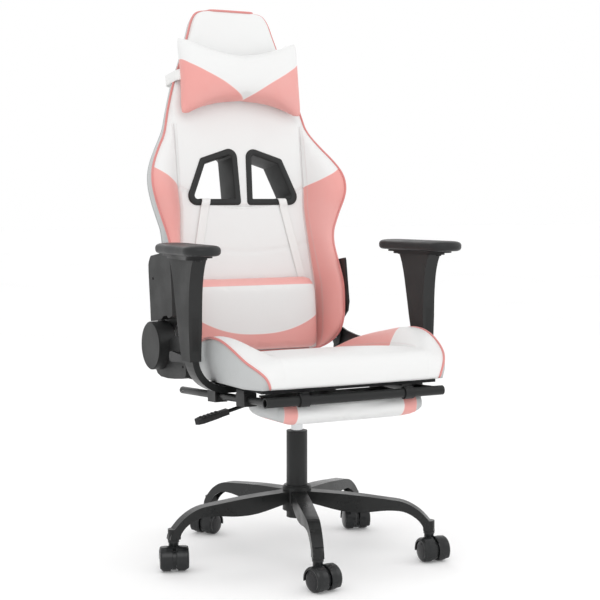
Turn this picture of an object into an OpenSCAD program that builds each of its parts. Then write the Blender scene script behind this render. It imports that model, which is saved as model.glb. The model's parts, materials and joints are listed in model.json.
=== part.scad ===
// Gaming chair with recliner, lumbar pillow, head pillow and slide-out footrest.
// Origin on the floor on the gas column's axis, +Z up, the sitter faces -Y.

/* [Base] */
// Radius from the column axis to each caster stem
leg_r = 291; // [270:1:310]
// Width of a pressed steel leg at the hub
leg_w = 34; // [28:1:36]
// Outer diameter of the hub
hub_d = 63; // [60:1:70]
// Caster wheel diameter
wheel_d = 50; // [46:1:52]

/* [Gas lift] */
// Outer diameter of the lift's outer tube
tube_d = 46; // [44:1:48]
// Diameter of the chrome cylinder
cyl_d = 26; // [24:1:28]

/* [Seat] */
// Half width of the seat cushion between its wings
seat_hw = 172; // [165:1:176]
// Height of the seat's front edge
seat_top = 469; // [460:1:480]
// Armrest pad length
pad_l = 246; // [230:1:260]
// Armrest pad width
pad_w = 80; // [70:1:90]
// Toe-out of the armrest pads in degrees
pad_toe = 5; // [0:1:8]

/* [Backrest] */
// Lean of the backrest from upright in degrees
lean = 8; // [6:1:10]
// Length of the backrest along its lean
back_l = 799; // [780:1:810]
// Thickness of the backrest's middle
back_t = 76; // [70:1:90]

/* [Pillows] */
// Half width of the lumbar pillow
lumbar_hw = 160; // [150:1:165]
// Half width of the head pillow
head_hw = 157; // [150:1:160]

/* [Footrest] */
// Half width of the footrest pad
foot_hw = 174; // [160:1:178]
// Footrest rail diameter
rail_d = 16; // [14:1:18]

/* [Hidden] */
$fn = 48;
eps = 0.01;
hub_z0 = 100; hub_z1 = 152;
leg_a = [178, 250, 322, 34, 106];
trail_a = [250, 279, 265, 255, 210];
trail = 16;
axle_z = wheel_d/2;
piv_y = 200; piv_z = 456;
tilt_y = -30; tilt_z = 372;
lev_x = -40; lev_z = 362;
flip_y = -256; flip_z = 381;
slope = 3.24;
rail_x = 200;
by0 = 214; bz0 = 428;
grey = [0.17, 0.175, 0.175];
steel = [0.75, 0.76, 0.78];
white = [0.93, 0.93, 0.93];
pink = [0.88, 0.60, 0.58];

// ---------- helpers ----------
// one point of a smooth curve through p[i], i from 1 to len-3
function cr(p, i, t) = let (a = p[i-1], b = p[i], c = p[i+1], d = p[i+2])
  0.5 * (2*b + (c - a)*t + (2*a - 5*b + 4*c - d)*t*t + (3*b - a - 3*c + d)*t*t*t);
// smooth open curve through all the points, with n steps per span
function smooth(p, n = 4) = let (q = concat([2*p[0] - p[1]], p, [2*p[len(p)-1] - p[len(p)-2]]))
  concat([for (i = [1:len(q)-3]) for (k = [0:n-1]) cr(q, i, k/n)], [p[len(p)-1]]);
function flip(p) = [for (i = [len(p)-1:-1:0]) [-p[i][0], p[i][1]]];
function rev(p) = [for (i = [len(p)-1:-1:0]) p[i]];
// rounded rectangle, made of exact arcs
module rrect(w, h, r) {
  union() {
    square([w - 2*r, h], center = true);
    square([w, h - 2*r], center = true);
    for (x = [-1, 1], y = [-1, 1]) translate([x*(w/2 - r), y*(h/2 - r)]) circle(r);
  }
}
// extrude an XZ outline along Y, from y0 to y1
module along_y(y0, y1) { translate([0, y1, 0]) rotate([90, 0, 0]) linear_extrude(y1 - y0) children(); }
// extrude a YZ outline along X, from x0 to x1
module along_x(x0, x1) { translate([x0, 0, 0]) rotate([90, 0, 90]) linear_extrude(x1 - x0) children(); }
module both() { children(); mirror([1, 0, 0]) children(); }
// rod between two points
module rod(a, b, r) {
  v = b - a; l = norm(v);
  translate(a) rotate([0, acos(v[2]/l), atan2(v[1], v[0])]) cylinder(r = r, h = l);
}
// the footrest rails' own frame: y runs back along the rail, from the cross tube
module on_rail() { translate([0, flip_y, flip_z]) rotate([-slope, 0, 0]) children(); }
module in_back() { translate([0, by0, bz0]) rotate([-lean, 0, 0]) children(); }

// ---------- base ----------
leg_top = [[22, 143], [33, 143], [115, 139], [190, 132], [235, 126], [266, 111], [287, 92], [299, 76], [302.5, 64]];
leg_bot = [[279.5, 64], [277, 76], [262, 92], [236, 104.5], [200, 106], [150, 100.5], [100, 102.5], [36, 117], [22, 117]];
module leg_profile() { polygon(concat(smooth(leg_top, 4), smooth(leg_bot, 4))); }
module base_hub() {
  color(grey) difference() {
    union() {
      translate([0, 0, hub_z0]) cylinder(d = hub_d, h = hub_z1 - hub_z0);
      translate([0, 0, hub_z0]) cylinder(d = hub_d - 6, h = hub_z1 - hub_z0 + 3);
    }
    translate([0, 0, hub_z0 - 1]) cylinder(d = tube_d + 0.1, h = 60);
  }
}
module base_legs() {
  color(grey) for (a = leg_a) rotate([0, 0, a]) difference() {
    union() {
      intersection() {
        along_y(-20, 20) leg_profile();
        linear_extrude(160) polygon([[hub_d/2 - 4, -leg_w/2], [hub_d/2 - 4, leg_w/2], [210, 14], [leg_r + 12, 11.5], [leg_r + 12, -11.5], [210, -14]]);
      }
      translate([leg_r, 0, 64]) cylinder(r = 12, h = 22);
    }
    intersection() {
      along_y(-15, 15) polygon(concat([for (p = smooth(leg_top, 4)) if (p[0] < 278) [p[0], p[1] - 2.6]], [[276, 60], [20, 60]]));
      linear_extrude(160) polygon([[hub_d/2 + 3, -leg_w/2 + 2.6], [hub_d/2 + 3, leg_w/2 - 2.6], [210, 11.4], [277, 9.6], [277, -9.6], [210, -11.4]]);
    }
    translate([0, 0, 90]) cylinder(d = hub_d + 0.1, h = 70);
    translate([leg_r, 0, 63]) cylinder(r = 9.5, h = 22);
  }
}
module caster_sockets() {
  color([0.08, 0.08, 0.08]) for (a = leg_a) rotate([0, 0, a]) translate([leg_r, 0, 0]) difference() {
    union() {
      translate([0, 0, 64]) cylinder(r = 9.45, h = 20.5);
      translate([0, 0, 62.2]) cylinder(r = 12.5, h = 1.8);
    }
    translate([0, 0, 62]) cylinder(r = 5.55, h = 21);
  }
}
module gas_outer_tube() {
  color(grey) difference() {
    translate([0, 0, 84]) cylinder(d = tube_d, h = 188);
    translate([0, 0, 88]) cylinder(d = tube_d - 6, h = 190);
    translate([0, 0, 80]) cylinder(r = 5.05, h = 20);
  }
}
module gas_guide_bush() {
  color([0.1, 0.1, 0.1]) difference() {
    union() {
      translate([0, 0, 232]) cylinder(d = tube_d - 6.1, h = 40);
      translate([0, 0, 272.05]) cylinder(d = tube_d, h = 3);
      translate([0, 0, 271]) cylinder(d = tube_d - 6.1, h = 3);
    }
    translate([0, 0, 230]) cylinder(d = cyl_d + 0.1, h = 50);
  }
}
module gas_thrust_bearing() {
  color(steel) difference() {
    translate([0, 0, 88.05]) cylinder(r = 12, h = 5.9);
    translate([0, 0, 87]) cylinder(r = 5.1, h = 8);
  }
}
module gas_piston_rod() {
  color(steel) {
    translate([0, 0, 79.5]) cylinder(r = 5, h = 2.2);
    translate([0, 0, 81.6]) cylinder(r = 4, h = 2.2);
    translate([0, 0, 83.7]) cylinder(r = 5, h = 140);
    translate([0, 0, 94.05]) cylinder(r = 8, h = 2.95);
    translate([0, 0, 210]) cylinder(r = cyl_d/2 - 2.05, h = 12);
  }
}
module gas_retaining_clip() {
  color(steel) difference() {
    translate([0, 0, 81.8]) cylinder(r = 8, h = 1.8);
    translate([0, 0, 81]) cylinder(r = 4.05, h = 4);
  }
}
// ---------- lifting column ----------
module gas_cylinder() {
  color([0.85, 0.86, 0.88]) difference() {
    translate([0, 0, 158]) cylinder(d = cyl_d, h = 208);
    translate([0, 0, 168]) cylinder(d = cyl_d - 4, h = 160);
    translate([0, 0, 157]) cylinder(r = 5.05, h = 20);
    translate([0, 0, 334]) cylinder(r = 4.05, h = 40);
  }
}
module gas_valve_pin() { color(steel) translate([0, 0, 340]) cylinder(r = 4, h = 32.4); }
module tilt_housing() {
  color(grey) difference() {
    union() {
      translate([-47, -90, 349]) cube([94, 168, 3]);
      both() along_x(44, 47) polygon([[-90, 349], [78, 349], [78, 359], [-30, 382], [-90, 380]]);
      translate([0, 0, 341]) cylinder(r = 18, h = 25);
      for (y = [-9, 6]) translate([-46, y, 350]) cube([12, 3, 18]);
    }
    translate([0, 0, 340]) cylinder(d = cyl_d + 0.1, h = 30);
    translate([-60, tilt_y, tilt_z]) rotate([0, 90, 0]) cylinder(r = 4.05, h = 120);
    translate([lev_x, -12, lev_z]) rotate([-90, 0, 0]) cylinder(r = 3.05, h = 24);
    translate([-7, -84, 345]) cube([14, 26, 10]);
    translate([-52, -5.9, 352]) cube([10, 11.8, 16]);
  }
}
module tilt_pivot_pin() {
  color(steel) {
    translate([-53, tilt_y, tilt_z]) rotate([0, 90, 0]) cylinder(r = 4, h = 106);
    for (x = [-55.2, 52.2]) translate([x, tilt_y, tilt_z]) rotate([0, 90, 0]) cylinder(r = 6.5, h = 3);
  }
}
lev_pts = [[4, 0, 377.2], [-20, 0, 377.2], [lev_x, 0, lev_z], [-70, 0, 353], [-175, -4, 328]];
module lift_lever_rod() {
  color(grey) {
    for (i = [0:3]) rod(lev_pts[i], lev_pts[i+1], 4);
    for (i = [1:3]) translate(lev_pts[i]) sphere(r = 4.15);
    translate([lev_x, -11, lev_z]) rotate([-90, 0, 0]) cylinder(r = 3, h = 22);
  }
}
module lift_lever_paddle() {
  color([0.06, 0.06, 0.06]) translate([-170, -4, 329.2]) rotate([0, -13.4, 0]) rotate([0, 0, 180])
    difference() {
      union() {
        translate([0, -8, -6]) cube([18, 16, 12]);
        translate([12, 0, 0]) linear_extrude(11, center = true) polygon([[0, -9], [0, 9], [20, 13], [52, 14], [62, 9], [66, 0], [62, -9], [52, -14], [20, -13]]);
        for (x = [22:9:62]) translate([x, -11, 4]) cube([4, 22, 3]);
      }
      translate([-10, 0, 0]) rotate([0, 90, 0]) cylinder(r = 4.4, h = 17);
    }
}
// ---------- seat side of the mechanism ----------
module mechanism_top_plate() {
  color(grey) difference() {
    union() {
      translate([-75, -125, 392.6]) cube([150, 215, 3.2]);
      both() along_x(48.5, 51.5) polygon([[-46, 394], [-12, 394], [-12, 364], [-20, 360], [-40, 360], [-46, 366]]);
    }
    translate([-34, -17, 380]) cube([58, 36, 20]);
    translate([-60, tilt_y, tilt_z]) rotate([0, 90, 0]) cylinder(r = 4.05, h = 120);
    for (x = [-62, 62], y = [-112, 76]) translate([x, y, 380]) cylinder(r = 4.2, h = 20);
    translate([0, -68, 380]) cylinder(r = 5.05, h = 20);
  }
}
module tension_bolt() {
  color(steel) {
    translate([0, -68, 315]) cylinder(r = 5, h = 80.6);
    translate([0, -68, 388.5]) cylinder(r = 9, h = 4);
    for (x = [-62, 62], y = [-112, 76]) {
      translate([x, y, 388.5]) cylinder(r = 7, h = 4, $fn = 6);
      translate([x, y, 392]) cylinder(r = 4, h = 11);
    }
  }
}
module tension_spring() {
  color(steel) translate([0, -68, 0]) for (i = [0:3])
    translate([0, 0, 328.1 + i*6.2]) rotate_extrude() translate([13, 0]) circle(r = 1.5, $fn = 16);
}
module tension_knob() {
  color([0.06, 0.06, 0.06]) translate([0, -68, 0]) difference() {
    union() {
      translate([0, 0, 309]) cylinder(r = 17.5, h = 14);
      for (i = [0:7]) rotate([0, 0, i*45]) translate([16.5, 0, 310]) cylinder(r = 4, h = 12);
      translate([0, 0, 321.5]) cylinder(r = 17, h = 4.5);
    }
    translate([0, 0, 314.7]) cylinder(r = 5.05, h = 40);
  }
}
module seat_pan() {
  color([0.55, 0.42, 0.3]) difference() {
    union() {
      translate([-205, -236, 396]) cube([410, 379, 8]);
      translate([-217.4, 52, 396]) cube([434.8, 91, 8]);
    }
    for (x = [-62, 62], y = [-112, 76]) translate([x, y, 380]) cylinder(r = 4.2, h = 30);
  }
}
seat_prof = [[172, 407], [171, 416], [164, 424.5], [120, 430.5], [50, 440], [-50, 455], [-150, 465], [-222, seat_top], [-248, 464.5], [-262, 452], [-266, 432], [-264, 416], [-256, 406]];
module seat_cushion() {
  color(white) along_x(-seat_hw, seat_hw) polygon(concat(smooth(seat_prof, 3), [[-250, 404.2], [168, 404.2]]));
}
wing_prof = [[144, 406], [142, 425], [125, 437], [80, 459], [20, 476], [-20, 485], [-60, 493], [-93, 497], [-130, 494], [-160, 487], [-187, 474], [-223, 456.5], [-250, 450], [-259, 440], [-262, 418], [-256, 406]];
wing_plan = [[144, 205], [85, 212], [40, 216], [0, 231], [-50, 242], [-100, 245], [-187, 241], [-230, 231], [-250, 217], [-262, 198]];
module seat_wings() {
  color(pink) both() intersection() {
    along_x(seat_hw + 0.3, 246) polygon(concat(smooth(wing_prof, 3), [[-250, 404.2], [143, 404.2]]));
    along_y(-270, 150) polygon([[seat_hw, 395], [seat_hw, 446], [183, 462], [205, 484], [222, 496], [232, 500], [240, 498], [246, 488], [246, 420], [236, 395]]);
    linear_extrude(520) polygon(concat([[160, 150]], [for (p = smooth(wing_plan, 3)) [p[1], p[0]]], [[160, -270]]));
  }
}
// ---------- armrests ----------
arm_x = 283; arm_y = -71;
bend_r = 62;
arm_bar = let (cx = arm_x + 7 - bend_r - 14, cz = 396 + bend_r, ro = bend_r + 14) concat(
  [[110, 382]], [for (t = [-90:7.5:0]) [cx + ro*cos(t), cz + ro*sin(t)]],
  [[cx + ro, 580.8], [cx + bend_r, 580.8]], [for (t = [0:-7.5:-90]) [cx + bend_r*cos(t), cz + bend_r*sin(t)]], [[110, 396]]);
module armrest_brackets() {
  color([0.12, 0.12, 0.12]) both() along_y(arm_y - 20, arm_y + 20) polygon(arm_bar);
}
slv = [[-92, 450], [-91, 478], [-91.5, 560], [-96, 610], [-104, 640], [-113, 658]];
slv2 = [[8, 658], [-2, 640], [-15, 600], [-38, 500], [-45, 466], [-51, 450]];
module armrest_sleeves() {
  color(grey) both() difference() {
    intersection() {
      along_x(arm_x - 15, arm_x + 15) polygon(concat(smooth(slv, 3), smooth(slv2, 3)));
      along_y(-120, 20) polygon([[arm_x - 12.5, 449], [arm_x + 12.5, 449], [arm_x + 15, 520], [arm_x + 15, 659], [arm_x - 15, 659], [arm_x - 15, 520]]);
    }
    translate([arm_x - 7.1, arm_y - 20.1, 440]) cube([14.2, 40.2, 141.2]);
    translate([arm_x - 8.2, arm_y - 20.1, 440]) cube([8, 40.2, 18.5]);
  }
}
module toe(s) { translate([s*arm_x, -52, 0]) rotate([0, 0, s*pad_toe]) children(); }
module armrest_plates() {
  color([0.12, 0.12, 0.12]) for (s = [-1, 1]) toe(s) {
    translate([0, 2, 658.2]) linear_extrude(5) rrect(46, 150, 18);
    translate([0, 0, 663]) linear_extrude(4) rrect(56, 186, 22);
    for (y = [-68.4, 68.4]) translate([0, y, 656]) cylinder(r = 6, h = 3);
  }
}
module armrest_pads() {
  color(grey) for (s = [-1, 1]) toe(s) {
    translate([0, 0, 667.2]) linear_extrude(17) rrect(pad_w, pad_l, 30);
    translate([0, 0, 684]) linear_extrude(3) rrect(pad_w - 5, pad_l - 5, 27.5);
    translate([0, 0, 686.9]) linear_extrude(2.6) rrect(pad_w - 14, pad_l - 14, 23);
  }
}
// ---------- footrest guides ----------
module footrest_guides() {
  color([0.1, 0.1, 0.1]) both() difference() {
    union() for (y = [82, 220]) {
      on_rail() translate([rail_x - 14, y, -13]) cube([28, 38, 26]);
      translate([rail_x - 14, flip_y + y + 2, 370]) cube([28, 34, 25.9]);
    }
    on_rail() translate([rail_x, 20, 0]) rotate([-90, 0, 0]) cylinder(d = rail_d + 0.16, h = 300);
    translate([rail_x - 30, -300, 395.9]) cube([60, 600, 20]);
  }
}
// ---------- recline hinge ----------
module disc_at(x, r, h) { translate([x, piv_y, piv_z]) rotate([0, 90, 0]) cylinder(r = r, h = h, $fn = 72); }
plate_lo = [[55, 393], [55, 440], [80, 462], [120, 466], [160, 472], [180, 478], [200, 480], [216, 475], [224, 456], [216, 436], [200, 428], [160, 396], [150, 393]];
module seat_hinge_plates() {
  color([0.3, 0.3, 0.32]) both() difference() {
    along_x(217.6, 221.6) polygon(plate_lo);
    disc_at(210, 6.05, 20);
  }
}
cov_lo = [[60, 406], [64, 398], [80, 393.5], [120, 389], [158, 386], [197, 386], [216, 391], [228, 401], [232, 420], [225, 440], [160, 470], [128, 480], [112, 484], [92, 484], [78, 472], [68, 450], [62, 430]];
module hinge_covers_lower() {
  color(grey) {
    mirror([1, 0, 0]) difference() {
      along_x(221.7, 238) polygon(cov_lo);
      disc_at(220, 54.2, 30);
      translate([230, 100, 442]) rotate([0, 90, 0]) cylinder(r = 8.06, h = 20);
      translate([230, 76, 420]) rotate([0, 90, 0]) cylinder(r = 3, h = 20);
    }
    difference() {
      along_x(221.7, 234) polygon([[70, 400], [80, 394], [158, 388], [205, 388], [222, 398], [228, 420], [224, 444], [213, 458], [200, 462], [186, 460], [170, 450], [150, 440], [90, 428], [74, 418]]);
      disc_at(220, 10.1, 30);
    }
  }
}
module recline_disc_cover() {
  color(grey) mirror([1, 0, 0]) difference() {
    union() {
      disc_at(222.2, 53.5, 37.8);
      disc_at(259, 51.5, 3);
    }
    disc_at(221, 47, 31);
  }
}
module recline_pins() {
  color(steel) {
    mirror([1, 0, 0]) { disc_at(212.6, 6, 15); disc_at(221.7, 9, 8); }
    disc_at(212.6, 6, 15); disc_at(221.7, 9.6, 13);
  }
}
module recline_lever() {
  color([0.08, 0.08, 0.08]) {
    translate([-247.4, 100, 442]) rotate([0, 90, 0]) cylinder(r = 8, h = 16);
    along_x(-255, -247) polygon([[108, 432], [112, 442], [108, 451], [98, 453], [60, 450], [0, 449], [-16, 447], [-20, 441], [-16, 435], [0, 434], [60, 433], [96, 430]]);
  }
}
plate_up = [[-40, 0], [-34, 22], [-20, 60], [-14, 100], [-14, 150], [26, 150], [26, 60], [24, 22], [22, 0], [6, -19], [-16, -22], [-34, -14]];
module back_hinge_plates() {
  color([0.3, 0.3, 0.32]) both() difference() {
    translate([0, piv_y, piv_z]) rotate([-lean, 0, 0]) along_x(213, 217) polygon([[-22, 0], [-24, 30], [-62, 56], [-66, 70], [-66, 180], [0, 180], [6, 60], [22, 20], [22, 0], [14, -17], [0, -22], [-14, -17]]);
    disc_at(210, 6.05, 10);
  }
}
module hinge_covers_upper() {
  color(grey) {
    mirror([1, 0, 0]) translate([0, piv_y, piv_z]) rotate([-lean, 0, 0]) difference() {
      along_x(217.2, 240) polygon(concat(smooth([[42, 56], [40, 100], [38, 170], [33, 190], [20, 202]], 2), smooth([[-60, 202], [-78, 196], [-86, 182], [-87, 120], [-82, 60]], 2), [[-60, 56], [-50, 63], [-30, 62], [-20, 56]]));
      along_x(216, 234) polygon([[36, 62], [32, 180], [18, 195], [-60, 195], [-78, 180], [-78, 120], [-74, 66]]);
      translate([225, 14, 150]) rotate([0, 90, 0]) cylinder(r = 3.5, h = 30);
    }
    translate([0, piv_y, piv_z]) rotate([-lean, 0, 0]) difference() {
      along_x(217.2, 221.2) polygon([[6, 30], [0, 176], [-60, 176], [-62, 76], [-56, 62], [-24, 44], [-20, 30]]);
      translate([210, -30, 100]) rotate([0, 90, 0]) cylinder(r = 4, h = 30);
    }
  }
}

// ---------- backrest, in its own leaning frame: x across, y back, z along the lean ----------
back_half = [[150, 0], [178, 4], [198, 22], [207, 70], [211, 130], [211, 170], [208, 225], [212, 270], [225, 310], [240, 350], [246, 380], [244, 410], [232, 440], [212, 472], [192, 500], [181, 525], [172, 560], [153, 625], [131, 680], [110, 740], [98, 775], [84, 793], [60, 798]];
back_outline = concat(smooth(back_half, 3), [for (p = rev(smooth(back_half, 3))) [-p[0], p[1]]]);
bolster_prof = [[2, 24], [-40, 24], [-58, 40], [-66, 80], [-68, 120], [-66, 160], [-56, 205], [-42, 245], [-36, 280], [-40, 320], [-50, 360], [-48, 390], [-40, 415], [-26, 445], [-8, 480], [2, 500]];
cut_out = [[15, 341], [31, 341], [125, 341], [133, 346], [138, 357], [139, 370], [107, 446], [100, 452], [36, 473], [26, 473], [15, 466], [11, 455], [8, 352]];
module cut_hole(k) { for (s = [-1, 1]) mirror([s < 0 ? 1 : 0, 0, 0]) along_y(-100, 120) polygon([for (p = cut_out) [73 + (p[0] - 73)*k, 405 + (p[1] - 405)*k]]); }
frame_pts = [[-75, 38, 745], [-165, 38, 500], [-165, 38, 40], [165, 38, 40], [165, 38, 500], [75, 38, 745]];
module frame_path(r) {
  for (i = [0:4]) rod(frame_pts[i], frame_pts[i+1], r);
  rod(frame_pts[5], frame_pts[0], r);
  for (p = frame_pts) translate(p) sphere(r = r + 0.7);
  rod([-165, 38, 290], [165, 38, 290], r - 2);
  for (s = [-1, 1]) translate([s*181.4 - 31.4, 38 - r - 4, 60 + 9 - r]) cube([62.8, 2*r + 8, 2*r + 32]);
}
module backrest_frame() {
  color([0.2, 0.2, 0.2]) in_back() {
    frame_path(6.5);
  }
}
module backrest_cushion() {
  color(white) in_back() difference() {
    union() {
      intersection() {
        along_y(0, back_t) polygon(back_outline);
        along_x(-250, 250) polygon([[0, -1], [30, -1], [60, 16], [76, 50], [76, 560], [70, 700], [60, 800], [10, 800], [0, 780]]);
      }
      both() intersection() {
        along_y(-80, 3) polygon(concat([[177, -1]], [for (p = smooth(back_half, 3)) if (p[0] > 177) p], [[177, 545]]));
        along_x(170, 250) polygon(smooth(bolster_prof, 2));
      }
    }
    cut_hole(1);
    frame_path(6.8);
  }
}
module cutout_bezels() {
  color([0.12, 0.12, 0.12]) in_back() difference() {
    for (s = [-1, 1]) mirror([s < 0 ? 1 : 0, 0, 0]) {
      along_y(-3.5, back_t + 3) polygon([for (p = cut_out) [73 + (p[0] - 73)*0.985, 405 + (p[1] - 405)*0.985]]);
      along_y(-3.5, -0.2) polygon([for (p = cut_out) [73 + (p[0] - 73)*1.0, 405 + (p[1] - 405)*1.0]]);
    }
    cut_hole(0.80);
  }
}
module lumbar_straps() {
  color(white) in_back() both() {
    translate([101.3, -2.2, 340]) rotate([0, -12.3, 0]) translate([-10.5, 0, -285]) cube([21, 1.8, 282.4]);
  }
}
lum_prof = [[-2.6, 2], [-6, 0], [-22, 2], [-30, 12], [-37, 40], [-41, 80], [-43, 120], [-42, 142], [-37, 153], [-20, 168], [-2.6, 179]];
module lumbar_pillow() {
  color(white) in_back() along_x(-lumbar_hw, lumbar_hw) polygon(concat([[-2.6, 3]], smooth([for (i = [1:9]) lum_prof[i]], 2), [[-2.6, 179]]));
}
head_out = [[0, 581], [60, 574], [110, 560], [140, 549], [head_hw - 4, 548], [head_hw, 556], [head_hw - 6, 600], [head_hw - 9, 650], [head_hw - 2, 700], [head_hw, 718], [head_hw - 8, 727], [head_hw - 25, 725], [105, 714], [50, 700], [0, 694]];
module head_pillow() {
  color(white) in_back() intersection() {
    along_y(-68, -2.7) polygon(concat(smooth(head_out, 2), [for (p = rev(smooth(head_out, 2))) [-p[0], p[1]]]));
    along_x(-head_hw - 5, head_hw + 5) polygon([[-2.7, 545], [-30, 545], [-52, 566], [-66, 600], [-68, 640], [-60, 680], [-38, 712], [-24, 730], [-2.7, 730]]);
  }
}
module head_strap() {
  color(white) in_back() difference() {
    translate([0, 39.2, 640]) linear_extrude(24, center = true) difference() {
      rrect(318, 84.6, 12);
      rrect(315, 81.6, 10.5);
    }
    translate([-160, -20, 600]) cube([320, 17.4, 80]);
  }
}
// ---------- footrest ----------
module footrest_rails() {
  color([0.12, 0.12, 0.12]) both() difference() {
    on_rail() difference() {
      translate([rail_x, 10, 0]) rotate([-90, 0, 0]) cylinder(d = rail_d, h = 410);
      translate([rail_x, -1, 0]) rotate([-90, 0, 0]) cylinder(d = rail_d - 3.2, h = 500);
      translate([rail_x - 20, 404, 0]) rotate([0, 90, 0]) cylinder(r = 2.5, h = 40);
    }
    translate([0, flip_y, flip_z]) rotate([0, 90, 0]) cylinder(r = 10.05, h = 300);
  }
}
module footrest_cross_tube() {
  color([0.12, 0.12, 0.12]) difference() {
    translate([-rail_x - 9, flip_y, flip_z]) rotate([0, 90, 0]) cylinder(r = 10, h = 2*rail_x + 18);
    translate([-rail_x - 19, flip_y, flip_z]) rotate([0, 90, 0]) cylinder(r = 8, h = 2*rail_x + 38);
  }
}
module footrest_pad_base() {
  color([0.1, 0.1, 0.1]) difference() {
    union() {
      translate([-150, -225, 372.4]) cube([300, 112, 3.4]);
      both() {
        translate([112, flip_y, flip_z]) rotate([0, 90, 0]) cylinder(r = 13, h = 22);
        translate([112, flip_y + 6, 372.4]) cube([22, 40, 6]);
      }
    }
    translate([-250, flip_y, flip_z]) rotate([0, 90, 0]) cylinder(r = 10.06, h = 500);
  }
}
foot_prof = [[-112, 372.2], [-105, 366], [-103, 352], [-110, 340], [-130, 333], [-200, 330.5], [-226, 331], [-236, 336], [-240, 348], [-239.5, 364], [-235, 370], [-228, 372.2]];
module footrest_pad() {
  color(white) difference() {
    intersection() {
      along_x(-foot_hw, foot_hw) polygon(smooth(foot_prof, 2));
      along_y(-260, -90) polygon([[-foot_hw, 380], [foot_hw, 380], [foot_hw, 350], [foot_hw - 5, 341], [foot_hw - 18, 334], [foot_hw - 36, 330], [-foot_hw + 36, 330], [-foot_hw + 18, 334], [-foot_hw + 5, 341], [-foot_hw, 350]]);
    }
    both() translate([111, flip_y, flip_z]) rotate([0, 90, 0]) cylinder(r = 13.4, h = 24);
  }
}
// ---------- casters ----------
module caster_frame(i) { rotate([0, 0, leg_a[i]]) translate([leg_r, 0, 0]) rotate([0, 0, trail_a[i] - leg_a[i]]) children(); }
// axis of the wheels lies along y in the caster's frame
module lay() { translate([trail, 0, axle_z]) rotate([90, 0, 0]) children(); }
module caster_housing(i) {
  color([0.16, 0.16, 0.16]) caster_frame(i) {
    translate([0, 0, 50]) cylinder(r = 5.5, h = 32.5);
    translate([0, 0, 57.5]) cylinder(r = 12, h = 4.2);
    translate([0, 0, 47.9]) cylinder(r = 10.5, h = 10);
    difference() {
      union() {
        lay() translate([0, 0, -4]) cylinder(r = 22.5, h = 8);
        translate([-8, -4, 30]) cube([22, 8, 20]);
      }
    }
    for (s = [-1, 1]) lay() rotate([0, 0, -35]) rotate_extrude(angle = 225, $fn = 72) translate([0, s*17])
      polygon([for (p = [[25.6, -13.2], [27.2, -13.2], [28.2, -11.5], [28.6, 0], [28, 9.5], [26, 12.6], [23, 13.6], [21.5, 13.2], [21.5, 12.4], [24.6, 11.2], [25.6, 9.2]]) [p[0], s*p[1]]]);
    lay() for (s = [-1, 1]) rotate([0, 0, 62]) translate([18, -9, s > 0 ? 3.5 : -6.5]) cube([9.6, 18, 3]);
    lay() translate([0, 0, -26]) cylinder(r = 3, h = 52);
  }
}
module caster_wheel(i, s) {
  color([0.07, 0.07, 0.07]) caster_frame(i) lay() rotate_extrude($fn = 72)
    polygon([for (p = [[3.05, 6.8], [20, 6.8], [22, 6.9], [24, 7.6], [25, 9.5], [25, 21], [24.4, 24], [22.6, 26.4], [20.8, 27.6], [20, 28.6], [14, 30], [6, 30.6], [0, 30.7], [0, 26.2], [3.05, 26.2]]) [p[0], s*p[1]]]);
}
module caster_1_housing() { caster_housing(0); }
module caster_1_wheel_a() { caster_wheel(0, 1); }
module caster_1_wheel_b() { caster_wheel(0, -1); }
module caster_2_housing() { caster_housing(1); }
module caster_2_wheel_a() { caster_wheel(1, 1); }
module caster_2_wheel_b() { caster_wheel(1, -1); }
module caster_3_housing() { caster_housing(2); }
module caster_3_wheel_a() { caster_wheel(2, 1); }
module caster_3_wheel_b() { caster_wheel(2, -1); }
module caster_4_housing() { caster_housing(3); }
module caster_4_wheel_a() { caster_wheel(3, 1); }
module caster_4_wheel_b() { caster_wheel(3, -1); }
module caster_5_housing() { caster_housing(4); }
module caster_5_wheel_a() { caster_wheel(4, 1); }
module caster_5_wheel_b() { caster_wheel(4, -1); }

base_hub();
base_legs();
caster_sockets();
gas_outer_tube();
gas_guide_bush();
gas_thrust_bearing();
gas_piston_rod();
gas_retaining_clip();
gas_cylinder();
tilt_housing();
tilt_pivot_pin();
gas_valve_pin();
lift_lever_rod();
lift_lever_paddle();
mechanism_top_plate();
tension_bolt();
tension_spring();
tension_knob();
seat_pan();
seat_cushion();
seat_wings();
armrest_brackets();
armrest_sleeves();
armrest_plates();
armrest_pads();
footrest_guides();
seat_hinge_plates();
hinge_covers_lower();
recline_disc_cover();
recline_pins();
recline_lever();
back_hinge_plates();
hinge_covers_upper();
backrest_frame();
backrest_cushion();
cutout_bezels();
lumbar_straps();
lumbar_pillow();
head_pillow();
head_strap();
footrest_rails();
footrest_cross_tube();
footrest_pad_base();
footrest_pad();
caster_1_housing();
caster_1_wheel_a();
caster_1_wheel_b();
caster_2_housing();
caster_2_wheel_a();
caster_2_wheel_b();
caster_3_housing();
caster_3_wheel_a();
caster_3_wheel_b();
caster_4_housing();
caster_4_wheel_a();
caster_4_wheel_b();
caster_5_housing();
caster_5_wheel_a();
caster_5_wheel_b();
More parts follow.
